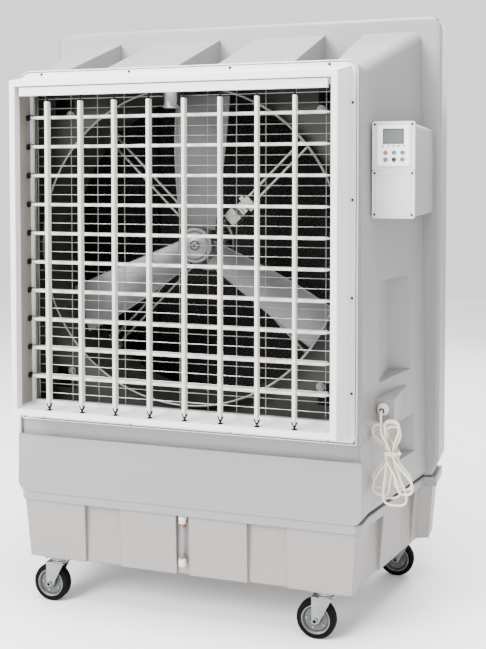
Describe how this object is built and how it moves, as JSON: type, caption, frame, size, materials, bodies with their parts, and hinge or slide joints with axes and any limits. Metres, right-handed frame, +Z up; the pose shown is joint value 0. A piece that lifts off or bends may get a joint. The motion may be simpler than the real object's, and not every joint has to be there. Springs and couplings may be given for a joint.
{
  "type": "evaporative cooler",
  "caption": "Large mobile evaporative cooler: moulded tank on casters, ribbed casing, axial fan behind a wire guard, swinging louvres and a side control box.",
  "frame": {"origin": "on the floor, under the middle of the overall box", "axes": "+Z up; -Y is the front, where the air leaves; +X is to the right seen from the front"},
  "size_m": [1.474, 0.864, 1.983],
  "materials": {
    "body": "moulded, faintly grained",
    "tank": "moulded, faintly grained",
    "white_trim": "powder coat, satin",
    "collar": "moulded, satin",
    "louver": "moulded, satin",
    "guard_wire": "plated wire",
    "shroud": "galvanised, dull",
    "fan": "cast blade, satin",
    "motor": "cast, finned",
    "strut": "zinc plated",
    "pump": "moulded",
    "pad": "corrugated, impregnated",
    "cover": "moulded, satin",
    "membrane": "printed film",
    "lcd": "grey-green display",
    "button_orange": "domed, glossy",
    "button_blue": "domed, glossy",
    "button_black": "domed, glossy",
    "gauge_glass": "clear tube",
    "gauge_white": "moulded",
    "float_red": "moulded",
    "zinc": "zinc plated",
    "tyre": "rubber tread on a pressed rim",
    "screw": "dark screw head",
    "can": "bright can",
    "gland": "moulded",
    "cord": "cream jacket"
  },
  "bodies": {
    "cabinet": {"tank": "tank", "casing": "body", "rear_frame": "body", "cooling_pad": "pad", "rear_grille": "body", "outlet_collar": "collar", "louver_strip": "white_trim", "wire_guard": "guard_wire", "fan_shroud": "shroud", "motor": "motor", "motor_struts": "strut", "pump_and_riser": "pump", "water_inlet": "gland", "control_box_body": "body", "control_panel_cover": "cover", "control_lower_cover": "cover", "control_membrane": "membrane", "lcd_window": "lcd", "gauge_tube": "gauge_glass", "gauge_fittings": "gauge_white", "swing_motor": "can", "caster_plates": "zinc", "screws": "screw", "cord_gland": "gland", "power_lead": "cord", "cord_hank": "cord"},
    "vertical_louver_1": {"vertical_louver_1": "louver"},
    "vertical_louver_2": {"vertical_louver_2": "louver"},
    "vertical_louver_3": {"vertical_louver_3": "louver"},
    "vertical_louver_4": {"vertical_louver_4": "louver"},
    "vertical_louver_5": {"vertical_louver_5": "louver"},
    "vertical_louver_6": {"vertical_louver_6": "louver"},
    "vertical_louver_7": {"vertical_louver_7": "louver"},
    "vertical_louver_8": {"vertical_louver_8": "louver"},
    "horizontal_louver_1": {"horizontal_louver_1": "louver"},
    "horizontal_louver_2": {"horizontal_louver_2": "louver"},
    "horizontal_louver_3": {"horizontal_louver_3": "louver"},
    "horizontal_louver_4": {"horizontal_louver_4": "louver"},
    "horizontal_louver_5": {"horizontal_louver_5": "louver"},
    "horizontal_louver_6": {"horizontal_louver_6": "louver"},
    "horizontal_louver_7": {"horizontal_louver_7": "louver"},
    "horizontal_louver_8": {"horizontal_louver_8": "louver"},
    "horizontal_louver_9": {"horizontal_louver_9": "louver"},
    "horizontal_louver_10": {"horizontal_louver_10": "louver"},
    "fan_impeller": {"fan_impeller": "fan"},
    "caster_fork_front_left": {"caster_fork_front_left": "zinc"},
    "caster_wheel_front_left": {"caster_wheel_front_left": "tyre"},
    "caster_fork_front_right": {"caster_fork_front_right": "zinc"},
    "caster_wheel_front_right": {"caster_wheel_front_right": "tyre"},
    "caster_fork_rear_left": {"caster_fork_rear_left": "zinc"},
    "caster_wheel_rear_left": {"caster_wheel_rear_left": "tyre"},
    "caster_fork_rear_right": {"caster_fork_rear_right": "zinc"},
    "caster_wheel_rear_right": {"caster_wheel_rear_right": "tyre"},
    "button_1": {"button_1": "button_orange"},
    "button_2": {"button_2": "button_blue"},
    "button_3": {"button_3": "button_blue"},
    "button_4": {"button_4": "button_blue"},
    "button_5": {"button_5": "button_black"},
    "button_6": {"button_6": "button_blue"},
    "gauge_float": {"gauge_float": "float_red"}
  },
  "joints": [
    {"name": "vertical_louver_1_turn", "type": "hinge", "parent": "cabinet", "child": "vertical_louver_1", "pos_m": [-0.4025, -0.418, 1.2], "axis": [0, 0, 1], "range_deg": [-42, 42]},
    {"name": "vertical_louver_2_turn", "type": "hinge", "parent": "cabinet", "child": "vertical_louver_2", "pos_m": [-0.2875, -0.418, 1.2], "axis": [0, 0, 1], "range_deg": [-42, 42]},
    {"name": "vertical_louver_3_turn", "type": "hinge", "parent": "cabinet", "child": "vertical_louver_3", "pos_m": [-0.1725, -0.418, 1.2], "axis": [0, 0, 1], "range_deg": [-42, 42]},
    {"name": "vertical_louver_4_turn", "type": "hinge", "parent": "cabinet", "child": "vertical_louver_4", "pos_m": [-0.0575, -0.418, 1.2], "axis": [0, 0, 1], "range_deg": [-42, 42]},
    {"name": "vertical_louver_5_turn", "type": "hinge", "parent": "cabinet", "child": "vertical_louver_5", "pos_m": [0.0575, -0.418, 1.2], "axis": [0, 0, 1], "range_deg": [-42, 42]},
    {"name": "vertical_louver_6_turn", "type": "hinge", "parent": "cabinet", "child": "vertical_louver_6", "pos_m": [0.1725, -0.418, 1.2], "axis": [0, 0, 1], "range_deg": [-42, 42]},
    {"name": "vertical_louver_7_turn", "type": "hinge", "parent": "cabinet", "child": "vertical_louver_7", "pos_m": [0.2875, -0.418, 1.2], "axis": [0, 0, 1], "range_deg": [-42, 42]},
    {"name": "vertical_louver_8_turn", "type": "hinge", "parent": "cabinet", "child": "vertical_louver_8", "pos_m": [0.4025, -0.418, 1.2], "axis": [0, 0, 1], "range_deg": [-42, 42]},
    {"name": "horizontal_louver_1_tilt", "type": "hinge", "parent": "cabinet", "child": "horizontal_louver_1", "pos_m": [0, -0.355, 0.7834], "axis": [1, 0, 0], "range_deg": [-42, 42]},
    {"name": "horizontal_louver_2_tilt", "type": "hinge", "parent": "cabinet", "child": "horizontal_louver_2", "pos_m": [0, -0.355, 0.8762], "axis": [1, 0, 0], "range_deg": [-42, 42]},
    {"name": "horizontal_louver_3_tilt", "type": "hinge", "parent": "cabinet", "child": "horizontal_louver_3", "pos_m": [0, -0.355, 0.969], "axis": [1, 0, 0], "range_deg": [-42, 42]},
    {"name": "horizontal_louver_4_tilt", "type": "hinge", "parent": "cabinet", "child": "horizontal_louver_4", "pos_m": [0, -0.355, 1.0618], "axis": [1, 0, 0], "range_deg": [-42, 42]},
    {"name": "horizontal_louver_5_tilt", "type": "hinge", "parent": "cabinet", "child": "horizontal_louver_5", "pos_m": [0, -0.355, 1.1546], "axis": [1, 0, 0], "range_deg": [-42, 42]},
    {"name": "horizontal_louver_6_tilt", "type": "hinge", "parent": "cabinet", "child": "horizontal_louver_6", "pos_m": [0, -0.355, 1.2474], "axis": [1, 0, 0], "range_deg": [-42, 42]},
    {"name": "horizontal_louver_7_tilt", "type": "hinge", "parent": "cabinet", "child": "horizontal_louver_7", "pos_m": [0, -0.355, 1.3402], "axis": [1, 0, 0], "range_deg": [-42, 42]},
    {"name": "horizontal_louver_8_tilt", "type": "hinge", "parent": "cabinet", "child": "horizontal_louver_8", "pos_m": [0, -0.355, 1.433], "axis": [1, 0, 0], "range_deg": [-42, 42]},
    {"name": "horizontal_louver_9_tilt", "type": "hinge", "parent": "cabinet", "child": "horizontal_louver_9", "pos_m": [0, -0.355, 1.5258], "axis": [1, 0, 0], "range_deg": [-42, 42]},
    {"name": "horizontal_louver_10_tilt", "type": "hinge", "parent": "cabinet", "child": "horizontal_louver_10", "pos_m": [0, -0.355, 1.6186], "axis": [1, 0, 0], "range_deg": [-42, 42]},
    {"name": "fan_spin", "type": "hinge", "parent": "cabinet", "child": "fan_impeller", "pos_m": [0, -0.142, 1.206], "axis": [0, 1, 0], "continuous": true},
    {"name": "caster_swivel_front_left", "type": "hinge", "parent": "cabinet", "child": "caster_fork_front_left", "pos_m": [-0.459, -0.25, 0.145], "axis": [0, 0, 1], "continuous": true},
    {"name": "caster_roll_front_left", "type": "hinge", "parent": "caster_fork_front_left", "child": "caster_wheel_front_left", "pos_m": [-0.488, -0.25, 0.0625], "axis": [0, 1, 0], "continuous": true},
    {"name": "caster_swivel_front_right", "type": "hinge", "parent": "cabinet", "child": "caster_fork_front_right", "pos_m": [0.459, -0.25, 0.145], "axis": [0, 0, 1], "continuous": true},
    {"name": "caster_roll_front_right", "type": "hinge", "parent": "caster_fork_front_right", "child": "caster_wheel_front_right", "pos_m": [0.43, -0.25, 0.0625], "axis": [0, 1, 0], "continuous": true},
    {"name": "caster_swivel_rear_left", "type": "hinge", "parent": "cabinet", "child": "caster_fork_rear_left", "pos_m": [-0.612, 0.325, 0.145], "axis": [0, 0, 1], "continuous": true},
    {"name": "caster_roll_rear_left", "type": "hinge", "parent": "caster_fork_rear_left", "child": "caster_wheel_rear_left", "pos_m": [-0.641, 0.325, 0.0625], "axis": [0, 1, 0], "continuous": true},
    {"name": "caster_swivel_rear_right", "type": "hinge", "parent": "cabinet", "child": "caster_fork_rear_right", "pos_m": [0.612, 0.325, 0.145], "axis": [0, 0, 1], "continuous": true},
    {"name": "caster_roll_rear_right", "type": "hinge", "parent": "caster_fork_rear_right", "child": "caster_wheel_rear_right", "pos_m": [0.583, 0.325, 0.0625], "axis": [0, 1, 0], "continuous": true},
    {"name": "button_1_press", "type": "slide", "parent": "cabinet", "child": "button_1", "axis": [0, 1, 0], "range_m": [0, 0.0012], "stiffness_N_per_m": 600},
    {"name": "button_2_press", "type": "slide", "parent": "cabinet", "child": "button_2", "axis": [0, 1, 0], "range_m": [0, 0.0012], "stiffness_N_per_m": 600},
    {"name": "button_3_press", "type": "slide", "parent": "cabinet", "child": "button_3", "axis": [0, 1, 0], "range_m": [0, 0.0012], "stiffness_N_per_m": 600},
    {"name": "button_4_press", "type": "slide", "parent": "cabinet", "child": "button_4", "axis": [0, 1, 0], "range_m": [0, 0.0012], "stiffness_N_per_m": 600},
    {"name": "button_5_press", "type": "slide", "parent": "cabinet", "child": "button_5", "axis": [0, 1, 0], "range_m": [0, 0.0012], "stiffness_N_per_m": 600},
    {"name": "button_6_press", "type": "slide", "parent": "cabinet", "child": "button_6", "axis": [0, 1, 0], "range_m": [0, 0.0012], "stiffness_N_per_m": 600},
    {"name": "float_rise", "type": "slide", "parent": "cabinet", "child": "gauge_float", "axis": [0, 0, 1], "range_m": [0, 0.09]}
  ],
  "couplings": [
    {"joint": "vertical_louver_2_turn", "follows": "vertical_louver_1_turn", "ratio": 1},
    {"joint": "vertical_louver_3_turn", "follows": "vertical_louver_1_turn", "ratio": 1},
    {"joint": "vertical_louver_4_turn", "follows": "vertical_louver_1_turn", "ratio": 1},
    {"joint": "vertical_louver_5_turn", "follows": "vertical_louver_1_turn", "ratio": 1},
    {"joint": "vertical_louver_6_turn", "follows": "vertical_louver_1_turn", "ratio": 1},
    {"joint": "vertical_louver_7_turn", "follows": "vertical_louver_1_turn", "ratio": 1},
    {"joint": "vertical_louver_8_turn", "follows": "vertical_louver_1_turn", "ratio": 1},
    {"joint": "horizontal_louver_2_tilt", "follows": "horizontal_louver_1_tilt", "ratio": 1},
    {"joint": "horizontal_louver_3_tilt", "follows": "horizontal_louver_1_tilt", "ratio": 1},
    {"joint": "horizontal_louver_4_tilt", "follows": "horizontal_louver_1_tilt", "ratio": 1},
    {"joint": "horizontal_louver_5_tilt", "follows": "horizontal_louver_1_tilt", "ratio": 1},
    {"joint": "horizontal_louver_6_tilt", "follows": "horizontal_louver_1_tilt", "ratio": 1},
    {"joint": "horizontal_louver_7_tilt", "follows": "horizontal_louver_1_tilt", "ratio": 1},
    {"joint": "horizontal_louver_8_tilt", "follows": "horizontal_louver_1_tilt", "ratio": 1},
    {"joint": "horizontal_louver_9_tilt", "follows": "horizontal_louver_1_tilt", "ratio": 1},
    {"joint": "horizontal_louver_10_tilt", "follows": "horizontal_louver_1_tilt", "ratio": 1}
  ]
}
